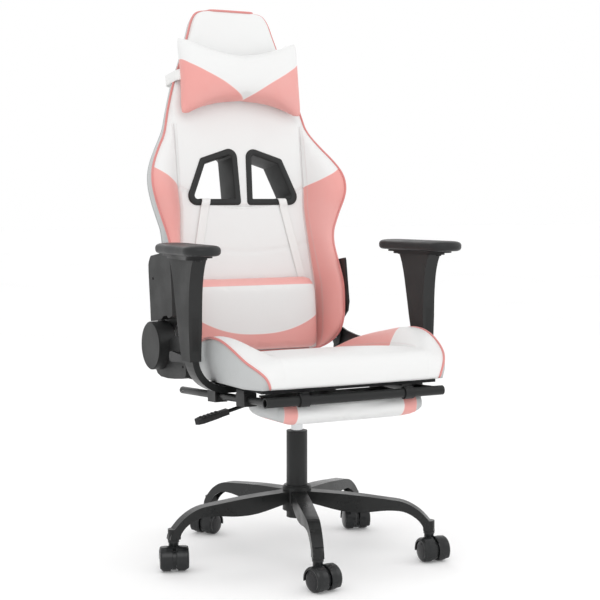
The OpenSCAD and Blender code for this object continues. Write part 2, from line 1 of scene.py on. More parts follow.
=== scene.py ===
import sys
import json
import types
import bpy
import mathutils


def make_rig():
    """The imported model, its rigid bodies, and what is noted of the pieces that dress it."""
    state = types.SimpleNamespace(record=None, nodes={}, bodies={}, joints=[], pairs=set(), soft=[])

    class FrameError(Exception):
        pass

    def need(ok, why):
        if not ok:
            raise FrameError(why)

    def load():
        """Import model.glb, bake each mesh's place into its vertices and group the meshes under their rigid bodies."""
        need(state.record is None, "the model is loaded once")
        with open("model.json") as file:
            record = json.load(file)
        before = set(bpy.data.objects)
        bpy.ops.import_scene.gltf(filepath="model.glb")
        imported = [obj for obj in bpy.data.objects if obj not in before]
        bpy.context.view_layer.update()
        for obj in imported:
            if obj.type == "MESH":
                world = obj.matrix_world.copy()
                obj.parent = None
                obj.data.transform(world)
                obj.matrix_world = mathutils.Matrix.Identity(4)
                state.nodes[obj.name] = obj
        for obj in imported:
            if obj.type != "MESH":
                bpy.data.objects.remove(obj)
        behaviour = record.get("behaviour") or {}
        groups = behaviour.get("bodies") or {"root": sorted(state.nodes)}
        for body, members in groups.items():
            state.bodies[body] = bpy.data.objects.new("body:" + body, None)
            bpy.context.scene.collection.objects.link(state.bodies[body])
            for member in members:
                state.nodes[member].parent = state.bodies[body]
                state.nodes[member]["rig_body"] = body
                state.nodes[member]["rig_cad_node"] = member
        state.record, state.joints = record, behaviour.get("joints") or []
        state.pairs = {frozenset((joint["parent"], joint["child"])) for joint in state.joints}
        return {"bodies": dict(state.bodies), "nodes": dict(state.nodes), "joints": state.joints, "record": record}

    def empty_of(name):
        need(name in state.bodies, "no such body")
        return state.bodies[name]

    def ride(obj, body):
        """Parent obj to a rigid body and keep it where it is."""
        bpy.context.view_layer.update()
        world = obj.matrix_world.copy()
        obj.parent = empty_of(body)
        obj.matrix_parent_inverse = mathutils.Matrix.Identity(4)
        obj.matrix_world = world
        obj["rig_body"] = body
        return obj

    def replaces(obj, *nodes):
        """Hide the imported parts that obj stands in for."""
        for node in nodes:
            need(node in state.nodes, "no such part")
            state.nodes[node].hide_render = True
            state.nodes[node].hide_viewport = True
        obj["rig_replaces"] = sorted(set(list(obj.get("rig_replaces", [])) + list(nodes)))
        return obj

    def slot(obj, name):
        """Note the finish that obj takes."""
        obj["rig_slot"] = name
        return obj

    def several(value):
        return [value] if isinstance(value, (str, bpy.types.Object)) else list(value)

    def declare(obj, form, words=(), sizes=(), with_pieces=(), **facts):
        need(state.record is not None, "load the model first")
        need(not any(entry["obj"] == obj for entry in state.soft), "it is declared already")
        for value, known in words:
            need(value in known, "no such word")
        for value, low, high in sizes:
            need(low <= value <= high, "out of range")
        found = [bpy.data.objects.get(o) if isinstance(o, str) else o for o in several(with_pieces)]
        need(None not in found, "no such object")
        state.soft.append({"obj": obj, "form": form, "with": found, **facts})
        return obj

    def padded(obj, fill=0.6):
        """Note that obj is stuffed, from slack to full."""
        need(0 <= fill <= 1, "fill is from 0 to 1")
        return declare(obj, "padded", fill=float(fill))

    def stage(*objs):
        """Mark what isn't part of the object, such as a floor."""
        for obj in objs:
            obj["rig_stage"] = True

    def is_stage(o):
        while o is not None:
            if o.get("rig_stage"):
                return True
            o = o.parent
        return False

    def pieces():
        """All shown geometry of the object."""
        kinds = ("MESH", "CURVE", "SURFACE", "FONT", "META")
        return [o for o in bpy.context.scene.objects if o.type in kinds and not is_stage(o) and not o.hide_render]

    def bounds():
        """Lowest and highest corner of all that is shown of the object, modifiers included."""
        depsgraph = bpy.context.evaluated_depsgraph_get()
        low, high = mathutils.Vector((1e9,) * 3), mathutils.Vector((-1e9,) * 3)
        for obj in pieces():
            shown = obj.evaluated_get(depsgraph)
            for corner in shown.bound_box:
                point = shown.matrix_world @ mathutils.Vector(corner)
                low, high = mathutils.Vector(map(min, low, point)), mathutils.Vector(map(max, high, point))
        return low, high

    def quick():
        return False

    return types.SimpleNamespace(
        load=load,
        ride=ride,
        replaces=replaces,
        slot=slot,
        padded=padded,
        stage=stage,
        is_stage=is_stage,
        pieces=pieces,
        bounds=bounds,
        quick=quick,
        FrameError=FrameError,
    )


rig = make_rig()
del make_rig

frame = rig.load()
import bpy, bmesh, json, math
import numpy as np
from mathutils import Vector, Matrix

cad_box = [list(map(float, c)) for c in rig.bounds()]
scene = bpy.context.scene
scene.view_settings.view_transform = "Standard"
LEAN = math.radians(8.0)
CL, SL = math.cos(LEAN), math.sin(LEAN)


def row(p):
    """Backrest coordinates (x, y', s) in metres to the row frame."""
    p = np.asarray(p, float).reshape(-1, 3)
    return np.stack([p[:, 0], 0.214 + p[:, 1] * CL + p[:, 2] * SL, 0.428 - p[:, 1] * SL + p[:, 2] * CL], 1)


# ---------------------------------------------------------------- materials
def srgb(r, g, b):
    f = lambda c: (c / 255 / 12.92) if c / 255 <= 0.04045 else ((c / 255 + 0.055) / 1.055) ** 2.4
    return (f(r), f(g), f(b), 1.0)


WHITE = (0.79, 0.795, 0.79, 1)
# the side panels, seat walls and footrest ends are white like the rest of the cover; this darker tone is painted shade
# standing in for the shade those faces sit in
GREYW = (0.47, 0.485, 0.485, 1)
PINK = srgb(229, 158, 152)
PINK_L = srgb(236, 172, 167)
PIPE = srgb(214, 132, 128)


class Net:
    def __init__(self, name):
        self.mat = bpy.data.materials.new(name)
        self.mat.use_nodes = True
        self.t = self.mat.node_tree
        self.t.nodes.clear()
        self.out = self.t.nodes.new("ShaderNodeOutputMaterial")
        self.bsdf = self.t.nodes.new("ShaderNodeBsdfPrincipled")
        self.t.links.new(self.bsdf.outputs[0], self.out.inputs[0])
        self.co = None

    def n(self, kind, **kw):
        node = self.t.nodes.new(kind)
        for k, v in kw.items():
            setattr(node, k, v)
        return node

    def put(self, sock, v):
        if isinstance(v, bpy.types.NodeSocket):
            self.t.links.new(v, sock)
        else:
            sock.default_value = v

    def m(self, op, a, b=0.0, c=0.0, clamp=False):
        node = self.n("ShaderNodeMath", operation=op)
        node.use_clamp = clamp
        self.put(node.inputs[0], a)
        self.put(node.inputs[1], b)
        if op in ("MULTIPLY_ADD", "SMOOTH_MIN", "SMOOTH_MAX"):
            self.put(node.inputs[2], c)
        return node.outputs[0]

    def ramp(self, v, lo, hi, a=0.0, b=1.0):
        node = self.n("ShaderNodeMapRange", interpolation_type="SMOOTHSTEP")
        self.put(node.inputs["Value"], v)
        node.inputs["From Min"].default_value = lo
        node.inputs["From Max"].default_value = hi
        node.inputs["To Min"].default_value = a
        node.inputs["To Max"].default_value = b
        return node.outputs["Result"]

    def mix(self, f, a, b):
        node = self.n("ShaderNodeMix", data_type="RGBA")
        self.put(node.inputs[0], f)
        self.put(node.inputs[6], a)
        self.put(node.inputs[7], b)
        return node.outputs[2]

    def coords(self):
        if self.co is None:
            self.co = self.n("ShaderNodeTexCoord").outputs["Object"]
        return self.co

    def noise(self, scale, detail=3.0, rough=0.5, vec=None):
        node = self.n("ShaderNodeTexNoise")
        node.inputs["Scale"].default_value = scale
        node.inputs["Detail"].default_value = detail
        node.inputs["Roughness"].default_value = rough
        self.t.links.new(vec or self.coords(), node.inputs["Vector"])
        return node.outputs["Fac"]

    def voronoi(self, scale, feature="F1", rand=1.0):
        node = self.n("ShaderNodeTexVoronoi", feature=feature)
        node.inputs["Scale"].default_value = scale
        node.inputs["Randomness"].default_value = rand
        self.t.links.new(self.coords(), node.inputs["Vector"])
        return node.outputs["Distance"]

    def attr(self, name):
        return self.n("ShaderNodeAttribute", attribute_name=name).outputs["Fac"]

    def bump(self, height, dist, strength=1.0, normal=None):
        node = self.n("ShaderNodeBump")
        node.inputs["Strength"].default_value = strength
        node.inputs["Distance"].default_value = dist
        self.put(node.inputs["Height"], height)
        if normal is not None:
            self.t.links.new(normal, node.inputs["Normal"])
        return node.outputs[0]

    def set(self, **kw):
        for k, v in kw.items():
            self.put(self.bsdf.inputs[k.replace("_", " ")], v)
        return self.mat


def leather(name, base=WHITE, mask=None, second=PINK, third=None, seam=None, soft=0.0006, dashes=None):
    """Coated upholstery fabric: fine pebble grain, soft creases, slight colour drift, darker sewn seams."""
    k = Net(name)
    col = base
    if mask:
        f = k.ramp(k.attr(mask), -soft, soft)
        col = k.mix(f, base, second)
        line = k.m("MULTIPLY", k.ramp(k.m("ABSOLUTE", k.attr(mask)), 0.0, 0.0016, 1.0, 0.0), 0.35)
        col = k.mix(line, col, (0.93, 0.74, 0.71, 1))
    if third:
        col = k.mix(k.ramp(k.attr(third[0]), -soft, soft), col, third[1])
    drift = k.noise(9.0, 3.0)
    col = k.mix(k.ramp(drift, 0.3, 0.75, 0.0, 0.10), col, k.mix(0.0, (0.70, 0.66, 0.64, 1), (0.7, 0.66, 0.64, 1)) if False else (0.72, 0.67, 0.66, 1))
    cells = k.voronoi(900.0, "DISTANCE_TO_EDGE")
    pores = k.voronoi(420.0, "F1")
    grain = k.m("ADD", k.ramp(cells, 0.0, 0.28), k.m("MULTIPLY", pores, 0.6))
    creases = k.noise(38.0, 4.0, 0.55)
    height = k.m("ADD", k.m("MULTIPLY", grain, 0.16), k.m("MULTIPLY", creases, 0.55))
    if seam:
        d = k.m("ABSOLUTE", k.attr(seam))
        groove = k.ramp(d, 0.0, 0.0028)
        col = k.mix(k.ramp(d, 0.0, 0.0015, 0.45, 0.0), col, (0.42, 0.36, 0.35, 1))
        height = k.m("ADD", height, k.m("MULTIPLY", groove, 1.6))
        if dashes:
            off = k.m("ABSOLUTE", k.m("SUBTRACT", d, 0.0055))
            along = k.m("FRACT", k.m("MULTIPLY", k.attr(dashes), 210.0))
            stitch = k.m("MULTIPLY", k.ramp(off, 0.0005, 0.0010, 1.0, 0.0), k.m("MULTIPLY", k.ramp(along, 0.10, 0.18), k.ramp(along, 0.74, 0.82, 1.0, 0.0)))
            col = k.mix(k.m("MULTIPLY", stitch, 0.35), col, (0.62, 0.52, 0.51, 1))
            height = k.m("ADD", height, k.m("MULTIPLY", stitch, 0.5))
    rough = k.m("ADD", k.ramp(k.noise(60.0, 3.0), 0.3, 0.7, 0.36, 0.46), k.ramp(cells, 0.0, 0.2, 0.06, 0.0))
    k.set(Base_Color=col, Roughness=rough, Normal=k.bump(height, 0.0011, 0.55))
    k.bsdf.inputs["Specular IOR Level"].default_value = 0.42
    k.bsdf.inputs["Sheen Weight"].default_value = 0.08
    k.bsdf.inputs["Sheen Roughness"].default_value = 0.5
    return k.mat


def coated(name, col, rough=(0.38, 0.5), grain=700.0, depth=0.00012, wear=0.0, metallic=0.0, light=None):
    """Powder coat or moulded plastic: fine grain, cloudy gloss and colour lighter on sharp convex edges."""
    k = Net(name)
    cloud = k.noise(14.0, 4.0)
    fine = k.noise(grain, 2.0, 0.6)
    hi = light or tuple(min(1, c * 1.5 + 0.006) for c in col[:3]) + (1,)
    c = k.mix(k.ramp(cloud, 0.35, 0.8, 0.0, 0.35), col, hi)
    # colour made lighter on sharp convex edges, read from Pointiness
    if wear:
        point = k.n("ShaderNodeNewGeometry").outputs["Pointiness"]
        edge = k.ramp(point, 0.53, 0.62, 0.0, wear)
        c = k.mix(edge, c, hi)
    r = k.m("ADD", k.ramp(cloud, 0.3, 0.7, rough[0], rough[1]), k.m("MULTIPLY", fine, 0.06))
    k.set(Base_Color=c, Roughness=r, Normal=k.bump(fine, depth, 0.6))
    k.bsdf.inputs["Metallic"].default_value = metallic
    k.bsdf.inputs["Specular IOR Level"].default_value = 0.34
    return k.mat


def metal(name, col, rough=(0.12, 0.2), brushed=None, depth=0.00003):
    k = Net(name)
    cloud = k.noise(30.0, 4.0)
    if brushed:
        mp = k.n("ShaderNodeMapping")
        mp.inputs["Scale"].default_value = brushed
        k.t.links.new(k.coords(), mp.inputs["Vector"])
        fine = k.noise(60.0, 3.0, 0.6, mp.outputs[0])
    else:
        fine = k.noise(400.0, 2.0)
    c = k.mix(k.ramp(cloud, 0.3, 0.8, 0.0, 0.3), col, tuple(x * 0.8 for x in col[:3]) + (1,))
    r = k.m("ADD", k.ramp(cloud, 0.3, 0.7, rough[0], rough[1]), k.m("MULTIPLY", fine, 0.08))
    k.set(Base_Color=c, Roughness=r, Normal=k.bump(fine, depth, 0.5))
    k.bsdf.inputs["Metallic"].default_value = 1.0
    return k.mat


M_POWDER = coated("powder_coat", (0.006, 0.0065, 0.0065, 1), (0.28, 0.42), 900.0, 0.00010, 0.25)
M_LEGS = coated("powder_coat_satin", (0.007, 0.0075, 0.0075, 1), (0.22, 0.38), 900.0, 0.00010, 0.35)
M_TUBE = coated("tube_coat", (0.009, 0.0095, 0.0095, 1), (0.28, 0.46), 900.0, 0.0001, 0.2)
M_BLACK = coated("black_plastic", (0.005, 0.005, 0.0055, 1), (0.30, 0.48), 1100.0, 0.00016, 0.3)
M_CHAR = coated("charcoal_plastic", (0.012, 0.0125, 0.0125, 1), (0.40, 0.54), 1300.0, 0.00022, 0.25)
M_RING = coated("cutout_ring_plastic", (0.016, 0.017, 0.017, 1), (0.44, 0.56), 1300.0, 0.00022, 0.2)
M_HOOD = coated("caster_hood_plastic", (0.012, 0.013, 0.0135, 1), (0.16, 0.26), 900.0, 0.00006, 0.5)
M_WHEEL = coated("wheel_nylon", (0.006, 0.006, 0.007, 1), (0.10, 0.2), 800.0, 0.00006, 0.4)
M_CHROME = metal("chrome_cylinder", (0.60, 0.61, 0.62, 1), (0.04, 0.10))
M_ZINC = metal("zinc_steel", (0.58, 0.59, 0.60, 1), (0.26, 0.38), (1, 1, 12))
M_PIPE = leather("piping_pink", PIPE)
M_STRAP = None


def webbing(name):
    k = Net(name)
    weave = k.n("ShaderNodeTexWave", wave_type="BANDS", bands_direction="Z")
    weave.inputs["Scale"].default_value = 260.0
    weave.inputs["Distortion"].default_value = 1.2
    k.t.links.new(k.coords(), weave.inputs["Vector"])
    ribs = k.n("ShaderNodeTexWave", wave_type="BANDS", bands_direction="X")
    ribs.inputs["Scale"].default_value = 320.0
    k.t.links.new(k.coords(), ribs.inputs["Vector"])
    h = k.m("MULTIPLY", weave.outputs["Fac"], ribs.outputs["Fac"])
    c = k.mix(k.m("MULTIPLY", h, 0.6), (0.80, 0.80, 0.79, 1), (0.93, 0.93, 0.92, 1))
    k.set(Base_Color=c, Roughness=k.ramp(k.noise(200.0), 0.3, 0.7, 0.6, 0.75), Normal=k.bump(h, 0.0003, 0.7))
    return k.mat


M_STRAP = webbing("white_webbing")
M_UNDER = coated("underside_cloth", (0.022, 0.022, 0.023, 1), (0.75, 0.9), 900.0, 0.0003)

node_mat = {}
for names, mat in (
    (("base_hub", "gas_outer_tube"), M_TUBE),
    (("base_legs",), M_LEGS),
    (("tilt_housing", "mechanism_top_plate", "armrest_brackets", "seat_hinge_plates", "back_hinge_plates", "backrest_frame", "footrest_rails", "footrest_cross_tube", "lift_lever_rod"), M_POWDER),
    (("gas_cylinder",), M_CHROME),
    (("gas_piston_rod", "gas_retaining_clip", "gas_thrust_bearing", "tilt_pivot_pin", "gas_valve_pin", "tension_bolt", "tension_spring", "recline_pins"), M_ZINC),
    (("caster_sockets", "gas_guide_bush", "lift_lever_paddle", "tension_knob", "footrest_guides", "recline_lever", "footrest_pad_base", "armrest_plates"), M_BLACK),
    (("armrest_sleeves", "hinge_covers_lower", "hinge_covers_upper", "recline_disc_cover"), M_CHAR),
    (("seat_pan",), M_UNDER),
):
    for n in names:
        node_mat[n] = mat
for i in range(1, 6):
    node_mat["caster_%d_housing" % i] = M_HOOD
    node_mat["caster_%d_wheel_a" % i] = M_WHEEL
    node_mat["caster_%d_wheel_b" % i] = M_WHEEL
for n, mat in node_mat.items():
    o = frame["nodes"][n]
    for s in o.material_slots:
        s.link = "OBJECT"
        s.material = mat
    if not o.material_slots:
        o.data.materials.append(mat)


# ---------------------------------------------------------------- mesh helpers
def new_obj(name, verts, faces, mats, body, slotname, attrs=None, face_mat=None, smooth=True):
    me = bpy.data.meshes.new(name)
    me.from_pydata([tuple(map(float, v)) for v in verts], [], [tuple(map(int, f)) for f in faces])
    o = bpy.data.objects.new(name, me)
    scene.collection.objects.link(o)
    for m in mats:
        me.materials.append(m)
    if attrs:
        for k, v in attrs.items():
            a = me.attributes.new(k, "FLOAT", "POINT")
            a.data.foreach_set("value", np.asarray(v, dtype=np.float32))
    if face_mat is not None:
        me.polygons.foreach_set("material_index", np.asarray(face_mat, dtype=np.int32))
    me.polygons.foreach_set("use_smooth", [smooth] * len(me.polygons))
    bm = bmesh.new()
    bm.from_mesh(me)
    bmesh.ops.recalc_face_normals(bm, faces=bm.faces)
    bm.to_mesh(me)
    bm.free()
    me.update()
    if slotname:
        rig.slot(o, slotname)
    if body:
        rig.ride(o, body)
    return o


def catmull(p, n):
    p = np.asarray(p, float)
    q = np.vstack([2 * p[0] - p[1], p, 2 * p[-1] - p[-2]])
    out = []
    for i in range(1, len(q) - 2):
        a, b, c, d = q[i - 1], q[i], q[i + 1], q[i + 2]
        for k in range(n):
            t = k / n
            out.append(0.5 * (2 * b + (c - a) * t + (2 * a - 5 * b + 4 * c - d) * t * t + (3 * b - a - 3 * c + d) * t ** 3))
    out.append(p[-1])
    return np.array(out)


def resample(p, step=None, count=None):
    p = np.asarray(p, float)
    d = np.r_[0, np.cumsum(np.linalg.norm(np.diff(p, axis=0), axis=1))]
    n = count or max(2, int(round(d[-1] / step)) + 1)
    t = np.linspace(0, d[-1], n)
    return np.stack([np.interp(t, d, p[:, k]) for k in range(p.shape[1])], 1)


def tube(name, path, r, mats, body, slotname, closed=False, sides=10, flat=1.0, updir=None):
    """A sewn cord or rod along a path."""
    p = np.asarray(path, float)
    n = len(p)
    if closed:
        t = np.roll(p, -1, 0) - np.roll(p, 1, 0)
    else:
        t = np.gradient(p, axis=0)
    t /= np.linalg.norm(t, axis=1)[:, None]
    ref = np.array(updir if updir is not None else [0.3, 0.2, 0.93])
    u = ref - t[0] * (ref @ t[0])
    u /= np.linalg.norm(u)
    verts, faces = [], []
    for i in range(n):
        u = u - t[i] * (u @ t[i])
        u /= np.linalg.norm(u)
        v = np.cross(t[i], u)
        for k in range(sides):
            a = 2 * math.pi * k / sides
            verts.append(p[i] + r * (math.cos(a) * u * flat + math.sin(a) * v))
    rings = n if closed else n - 1
    for i in range(rings):
        j = (i + 1) % n
        for k in range(sides):
            l = (k + 1) % sides
            faces.append((i * sides + k, i * sides + l, j * sides + l, j * sides + k))
    if not closed:
        faces.append(tuple(range(sides)))
        faces.append(tuple((n - 1) * sides + k for k in range(sides)))
    return new_obj(name, verts, faces, mats, body, slotname)


def apply_mods(o):
    dg = bpy.context.evaluated_depsgraph_get()
    ev = o.evaluated_get(dg)
    me = bpy.data.meshes.new_from_object(ev, depsgraph=dg)
    old = o.data
    o.modifiers.clear()
    o.data = me
    bpy.data.meshes.remove(old)


def puff(o, voxel=0.005, pressure=4.0, cap=0.006, frames=18, smooth=2, keep=None):
    """Sewn and stuffed: remesh, inflate as cloth, cap how far any point moves, subdivide once."""
    m = o.modifiers.new("remesh", "REMESH")
    m.mode = "VOXEL"
    m.voxel_size = voxel
    apply_mods(o)
    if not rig.quick():
        base = np.zeros(len(o.data.vertices) * 3)
        o.data.vertices.foreach_get("co", base)
        c = o.modifiers.new("cloth", "CLOTH")
        s = c.settings
        s.quality = 4
        s.mass = 0.3
        s.tension_stiffness = 18
        s.compression_stiffness = 18
        s.shear_stiffness = 6
        s.bending_stiffness = 0.6
        s.use_pressure = True
        s.uniform_pressure_force = pressure
        s.effector_weights.gravity = 0
        c.collision_settings.use_collision = False
        scene.frame_start, scene.frame_end = 1, frames
        c.point_cache.frame_start, c.point_cache.frame_end = 1, frames
        for f in range(1, frames + 1):
            scene.frame_set(f)
        apply_mods(o)
        scene.frame_set(1)
        now = np.zeros(len(base))
        o.data.vertices.foreach_get("co", now)
        d = (now - base).reshape(-1, 3)
        length = np.linalg.norm(d, axis=1)
        d *= np.minimum(1.0, cap / np.maximum(length, 1e-9))[:, None]
        o.data.vertices.foreach_set("co", (base.reshape(-1, 3) + d).ravel())
    if smooth:
        sm = o.modifiers.new("smooth", "SMOOTH")
        sm.factor = 0.5
        sm.iterations = smooth
    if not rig.quick():
        sub = o.modifiers.new("sub", "SUBSURF")
        sub.levels = sub.render_levels = 1
    apply_mods(o)
    o.data.polygons.foreach_set("use_smooth", [True] * len(o.data.polygons))


def verts_of(o):
    a = np.zeros(len(o.data.vertices) * 3)
    o.data.vertices.foreach_get("co", a)
    return a.reshape(-1, 3)


def to_back(v):
    """Row frame to backrest coordinates (x, y', s)."""
    y, z = v[:, 1] - 0.214, v[:, 2] - 0.428
    return np.stack([v[:, 0], y * CL - z * SL, y * SL + z * CL], 1)


def set_attr(o, name, vals):
    me = o.data
    if name in me.attributes:
        me.attributes.remove(me.attributes[name])
    a = me.attributes.new(name, "FLOAT", "POINT")
    a.data.foreach_set("value", np.asarray(vals, dtype=np.float32))


def move_verts(o, v):
    o.data.vertices.foreach_set("co", np.asarray(v, float).ravel())
    o.data.update()


# ---------------------------------------------------------------- backrest cover
back_half = np.array([[150, 0], [178, 4], [198, 22], [207, 70], [211, 130], [210, 170], [208, 225], [212, 270], [225, 310], [240, 350], [246, 380], [243, 410], [230, 440], [210, 472], [192, 500], [181, 525], [172, 560], [153, 625], [131, 680], [110, 740], [98, 775], [84, 793], [60, 798]]) / 1000.0
edge = catmull(back_half, 8)
rows = resample(edge, count=176)
Wi, Si = rows[:, 0], rows[:, 1]
ridge_pts = np.array([[0, 0.004], [0.012, -0.018], [0.024, -0.040], [0.04, -0.058], [0.07, -0.070], [0.12, -0.073], [0.16, -0.070], [0.205, -0.057], [0.245, -0.043], [0.28, -0.038], [0.32, -0.043], [0.36, -0.052], [0.39, -0.051], [0.415, -0.044], [0.445, -0.029], [0.48, -0.010], [0.52, 0.005], [0.56, 0.007], [0.8, 0.007]])
rp = catmull(ridge_pts, 6)
R_of = lambda s: np.interp(s, rp[:, 0], rp[:, 1])
xs_of = lambda s: np.interp(s, [0, 0.1, 0.15, 0.23, 0.30, 0.335, 0.39, 0.48, 0.55, 0.6, 0.8], [0.168, 0.174, 0.175, 0.168, 0.162, 0.160, 0.163, 0.163, 0.163, 0.163, 0.163])
seam_x = lambda s, w: np.minimum(xs_of(s), w - 0.004)
D_of = lambda s: np.interp(s, [0, 0.14, 0.24, 0.29, 0.8], [0.112, 0.112, 0.062, 0.043, 0.043])
Yb_of = lambda s: np.interp(s, [0, 0.02, 0.05, 0.1, 0.5, 0.6, 0.7, 0.78, 0.8], [0.034, 0.046, 0.060, 0.069, 0.069, 0.066, 0.060, 0.052, 0.050])
# columns: centre panel, then bolster
tc = np.r_[np.linspace(0, 0.9, 26), [0.93, 0.955, 0.972, 0.985, 0.993, 1.0]]
tb = np.r_[[0.0, 0.04, 0.09, 0.15, 0.22], np.linspace(0.30, 0.90, 9), [0.94, 0.97, 0.985, 1.0]]


def section(s, w):
    xsm = seam_x(s, w)
    x = np.r_[xsm * tc, xsm + (w - xsm) * tb[1:]]
    seg = np.r_[tc, 1 + tb[1:]]
    return x, seg


def front_y(x, s, w):
    xsm = seam_x(s, w)
    r = R_of(s)
    inner = -0.0035 * np.clip(1 - (x / np.maximum(xsm, 1e-6)) ** 4, 0, 1) * np.interp(s, [0, 0.06, 0.7, 0.78, 0.8], [0, 1, 1, 0.6, 0.0])
    groove = 0.0030 * np.exp(-((np.abs(x - xsm) / 0.0035) ** 2))
    tau = np.clip((x - xsm) / np.maximum(w - xsm, 1e-6), 0, 1)
    flat = np.clip((w - xsm) / 0.02, 0, 1)
    wing = (r + 0.0) * (1 - (1 - tau) ** 2.1)
    wing -= 0.006 * np.sin(np.pi * tau) * flat * np.clip((0.55 - s) / 0.05, 0, 1)
    y = np.where(x <= xsm, inner, wing) + groove * flat
    # upper part: the face rolls back to the edge
    roll = np.clip((s - 0.50) / 0.06, 0, 1)
    y = y + roll * 0.006 * np.clip((x / w), 0, 1) ** 10
    # sewn cross seam at the foot of the cut-outs, and bands lower down
    for amp, s0, bow in ((0.0022, 0.338, 0.046), (0.0016, 0.232, 0.02)):
        d = s - (s0 + bow * (x / 0.163) ** 2)
        y = y + np.where(x <= xsm, amp * np.exp(-((d / 0.0032) ** 2)), 0)
    return y


def back_y(x, s, w):
    wr = w - 0.006
    # the rear edge runs straight in at the foot, without following the front edge's flare
    e = min(float(R_of(s) + D_of(s)), float(R_of(0.07) + D_of(0.07))) - 0.012 * max(0.0, 1 - s / 0.05) ** 2
    yb = Yb_of(s)
    return yb + (e - yb) * np.clip(x / wr, 0, 1) ** 7


F, B, SEAM, MASK, ALONG, ZONE = [], [], [], [], [], []
nrow = len(Si)
for i in range(nrow):
    s, w = Si[i], Wi[i]
    x, seg = section(s, w)
    xf = np.r_[-x[::-1], x[1:]]
    ax = np.abs(xf)
    F.append(np.stack([xf, front_y(ax, s, w), np.full_like(xf, s)], 1))
    xb = xf * (w - 0.006) / w
    B.append(np.stack([xb, back_y(np.abs(xb), s, w), np.full_like(xb, s)], 1))
F, B = np.array(F), np.array(B)
ncol = F.shape[1]
strip = 6
ST = []
for k in range(1, strip):
    f = k / strip
    both = []
    for c in (0, ncol - 1):
        sg = -1 if c == 0 else 1
        a, b = F[:, c], B[:, c]
        p = a * (1 - f) + b * f
        p[:, 0] += sg * (0.003 * math.sin(math.pi * f) + 0.0)
        both.append(p)
    ST.append(both)
# top and bottom rims
verts = [F.reshape(-1, 3), B.reshape(-1, 3)]
off_b = nrow * ncol
faces, fmat = [], []
cut = np.array([[7.5, 341], [151, 341], [105.2, 450.3], [11.7, 480.9]]) / 1000.0


def fillet(poly, radii, n=9):
    poly = np.asarray(poly, float)
    out = []
    m = len(poly)
    for i in range(m):
        p0, p1, p2 = poly[i - 1], poly[i], poly[(i + 1) % m]
        a = (p0 - p1) / np.linalg.norm(p0 - p1)
        b = (p2 - p1) / np.linalg.norm(p2 - p1)
        ang = math.acos(np.clip(a @ b, -1, 1))
        r = radii[i]
        d = r / math.tan(ang / 2)
        c = p1 + (a + b) / np.linalg.norm(a + b) * (r / math.sin(ang / 2))
        s0, s1 = p1 + a * d - c, p1 + b * d - c
        t0, t1 = math.atan2(s0[1], s0[0]), math.atan2(s1[1], s1[0])
        while t1 - t0 > math.pi:
            t1 -= 2 * math.pi
        while t1 - t0 < -math.pi:
            t1 += 2 * math.pi
        for k in range(n):
            t = t0 + (t1 - t0) * k / (n - 1)
            out.append(c + r * np.array([math.cos(t), math.sin(t)]))
    return np.array(out)


def inset(poly, d):
    poly = np.asarray(poly, float)
    m = len(poly)
    area = 0.5 * sum(poly[i][0] * poly[(i + 1) % m][1] - poly[(i + 1) % m][0] * poly[i][1] for i in range(m))
    sg = 1 if area > 0 else -1
    lines = []
    for i in range(m):
        a, b = poly[i], poly[(i + 1) % m]
        t = (b - a) / np.linalg.norm(b - a)
        nrm = np.array([-t[1], t[0]]) * sg
        lines.append((a + nrm * d, t))
    out = []
    for i in range(m):
        (p, t), (q, u) = lines[i - 1], lines[i]
        k = np.linalg.solve(np.array([t, -u]).T, q - p)
        out.append(p + t * k[0])
    return np.array(out)


def inside(poly, pts):
    x, y = pts[:, 0], pts[:, 1]
    r = np.zeros(len(pts), bool)
    n = len(poly)
    for i in range(n):
        x1, y1 = poly[i]
        x2, y2 = poly[(i + 1) % n]
        c = ((y1 > y) != (y2 > y)) & (x < (x2 - x1) * (y - y1) / (y2 - y1 + 1e-12) + x1)
        r ^= c
    return r


hole = fillet(inset(cut, 0.0075), [0.004, 0.014, 0.004, 0.016])
ce = 0.25 * (F[:-1, :-1] + F[1:, :-1] + F[:-1, 1:] + F[1:, 1:])
gone = inside(hole, np.stack([np.abs(ce[..., 0]).ravel(), ce[..., 2].ravel()], 1)).reshape(nrow - 1, ncol - 1)
idx = lambda i, j: i * ncol + j
for i in range(nrow - 1):
    for j in range(ncol - 1):
        q = (idx(i, j), idx(i, j + 1), idx(i + 1, j + 1), idx(i + 1, j))
        if gone[i, j]:
            for di, dj, e in ((-1, 0, (0, 1)), (1, 0, (2, 3)), (0, -1, (3, 0)), (0, 1, (1, 2))):
                if not gone[i + di, j + dj]:
                    a, b = q[e[0]], q[e[1]]
                    faces.append((a, b, b + off_b, a + off_b))
            continue
        faces.append(q)
        faces.append(tuple(v + off_b for v in q[::-1]))
# side strips, joined over the bottom and top rims as one band
loop = [(i, ncol - 1) for i in range(nrow)] + [(nrow - 1, j) for j in range(ncol - 2, -1, -1)] + [(i, 0) for i in range(nrow - 2, -1, -1)] + [(0, j) for j in range(1, ncol - 1)]
lf = np.array([F[i, j] for i, j in loop])
lb = np.array([B[i, j] for i, j in loop])
nl = len(loop)
tang = np.roll(lf, -1, 0) - np.roll(lf, 1, 0)
outn = np.stack([tang[:, 2], np.zeros(nl), -tang[:, 0]], 1)
outn /= np.maximum(np.linalg.norm(outn, axis=1), 1e-9)[:, None]
sv, base_i = [], 2 * nrow * ncol
for k in range(1, strip):
    f = k / strip
    sv.append(lf * (1 - f) + lb * f + outn * 0.0028 * math.sin(math.pi * f))
sv = np.array(sv)
ring = [[idx(i, j) for i, j in loop]] + [[base_i + k * nl + m for m in range(nl)] for k in range(strip - 1)] + [[idx(i, j) + off_b for i, j in loop]]
n_main = len(faces)
for a, b in zip(ring[:-1], ring[1:]):
    for m in range(nl):
        n = (m + 1) % nl
        faces.append((a[m], a[n], b[n], b[m]))
V = np.vstack([F.reshape(-1, 3), B.reshape(-1, 3), sv.reshape(-1, 3)])
nf = nrow * ncol
ax, sx = np.abs(V[:, 0]), V[:, 2]
